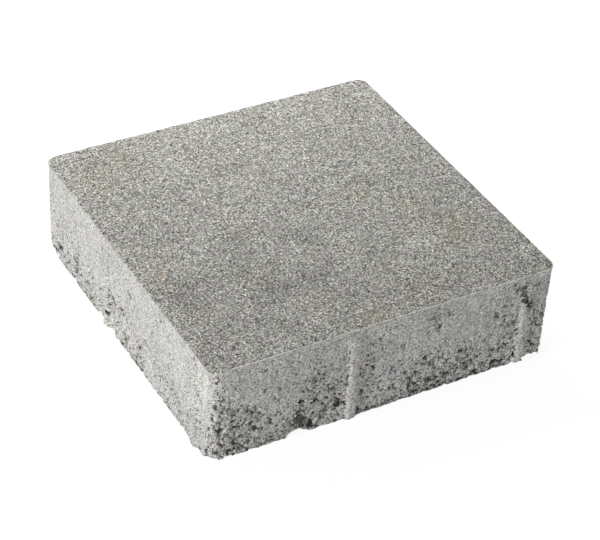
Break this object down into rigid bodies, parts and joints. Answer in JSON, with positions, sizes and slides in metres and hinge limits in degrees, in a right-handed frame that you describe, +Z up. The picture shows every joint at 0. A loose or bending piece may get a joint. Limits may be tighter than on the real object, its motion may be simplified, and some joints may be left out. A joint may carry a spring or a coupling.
{
  "type": "paving stone",
  "caption": "Square flat slab of pressed concrete with sharp upper edges, rounded upright corners and low vertical spacer nibs along its sides.",
  "frame": {"origin": "middle of the underside, on the ground it lies on", "axes": "+Z up, out of the wearing face; +X along the front side, from its left-hand end to its right-hand end seen from outside; +Y towards the back side"},
  "size_m": [0.282, 0.282, 0.08],
  "materials": {
    "concrete": "matte"
  },
  "bodies": {
    "root": {"paving_stone": "concrete"}
  },
  "joints": []
}
